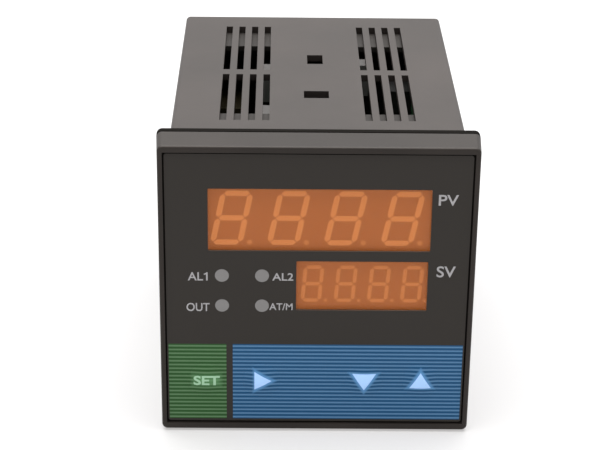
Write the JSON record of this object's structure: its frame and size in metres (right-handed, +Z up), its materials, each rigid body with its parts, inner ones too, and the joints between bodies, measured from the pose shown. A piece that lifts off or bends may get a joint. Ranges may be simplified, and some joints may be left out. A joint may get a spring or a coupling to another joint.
{
  "type": "pid temperature controller",
  "caption": "Square panel-mount temperature controller with a bezel, two amber LED displays, indicators, film keys, vented case and rear screw terminals.",
  "frame": {"origin": "middle of the footprint of the whole part, on the plane that it stands on", "axes": "+Z up, +Y from the front face back to the terminals, +X to the right of someone facing the displays"},
  "size_m": [0.0974, 0.139, 0.0974],
  "materials": {
    "bezel_plastic": "moulded, fine satin texture",
    "case_plastic": "moulded, fine satin texture",
    "gasket_rubber": "matt",
    "printed_film": "printed polyester, satin",
    "amber_pane": "tinted, clear",
    "display_face": "satin printed face",
    "led_strokes": "diffusing resin",
    "indicator_lens": "frosted",
    "led_package": "moulded resin",
    "key_plastic": "moulded",
    "stem_plastic": "moulded",
    "switch_case": "moulded",
    "circuit_board": "solder resist",
    "chip_resin": "moulded resin",
    "frame_plastic": "moulded",
    "plated_steel": "zinc plated",
    "terminal_plastic": "moulded",
    "tinned_brass": "tinned",
    "ferrite": "sintered, dull",
    "winding_tape": "polyester tape",
    "relay_case": "moulded",
    "capacitor_sleeve": "shrunk sleeve",
    "suppressor_case": "moulded",
    "crystal_can": "plated",
    "white_nylon": "moulded",
    "converter_case": "potted case"
  },
  "bodies": {
    "housing": {"board_headers": "white_nylon", "case": "case_plastic", "chassis_frame": "frame_plastic", "chassis_screws": "plated_steel", "control_board": "circuit_board", "crystal": "crystal_can", "display_board": "circuit_board", "driver_chips": "chip_resin", "front_bezel": "bezel_plastic", "front_jack": "white_nylon", "indicator_leds": "led_package", "indicator_lens_lower_left": "indicator_lens", "indicator_lens_lower_right": "indicator_lens", "indicator_lens_upper_left": "indicator_lens", "indicator_lens_upper_right": "indicator_lens", "inner_boards": "circuit_board", "input_converter": "converter_case", "key_switches": "switch_case", "microcontroller": "chip_resin", "middle_jack": "white_nylon", "option_socket": "white_nylon", "overlay_film": "printed_film", "panel_gasket": "gasket_rubber", "power_board": "circuit_board", "pv_display": "display_face", "pv_pane": "amber_pane", "pv_segments": "led_strokes", "rear_jack": "white_nylon", "relay_alarm_one": "relay_case", "relay_alarm_two": "relay_case", "relay_output": "relay_case", "smoothing_capacitor": "capacitor_sleeve", "suppressor_capacitor": "suppressor_case", "sv_display": "display_face", "sv_pane": "amber_pane", "sv_segments": "led_strokes", "terminal_block_left": "terminal_plastic", "terminal_block_right": "terminal_plastic", "terminal_carrier": "frame_plastic", "terminal_clamps": "plated_steel", "terminal_screws": "plated_steel", "terminal_strips": "tinned_brass", "transformer_core": "ferrite", "transformer_winding": "winding_tape"},
    "set_key": {"set_key_plunger": "key_plastic", "set_switch_stem": "stem_plastic"},
    "shift_key": {"shift_key_plunger": "key_plastic", "shift_switch_stem": "stem_plastic"},
    "down_key": {"down_key_plunger": "key_plastic", "down_switch_stem": "stem_plastic"},
    "up_key": {"up_key_plunger": "key_plastic", "up_switch_stem": "stem_plastic"}
  },
  "joints": [
    {"name": "set_key_press", "type": "slide", "parent": "housing", "child": "set_key", "axis": [0, 1, 0], "range_m": [0, 0.0003], "stiffness_N_per_m": 2000},
    {"name": "shift_key_press", "type": "slide", "parent": "housing", "child": "shift_key", "axis": [0, 1, 0], "range_m": [0, 0.0003], "stiffness_N_per_m": 2000},
    {"name": "down_key_press", "type": "slide", "parent": "housing", "child": "down_key", "axis": [0, 1, 0], "range_m": [0, 0.0003], "stiffness_N_per_m": 2000},
    {"name": "up_key_press", "type": "slide", "parent": "housing", "child": "up_key", "axis": [0, 1, 0], "range_m": [0, 0.0003], "stiffness_N_per_m": 2000}
  ]
}
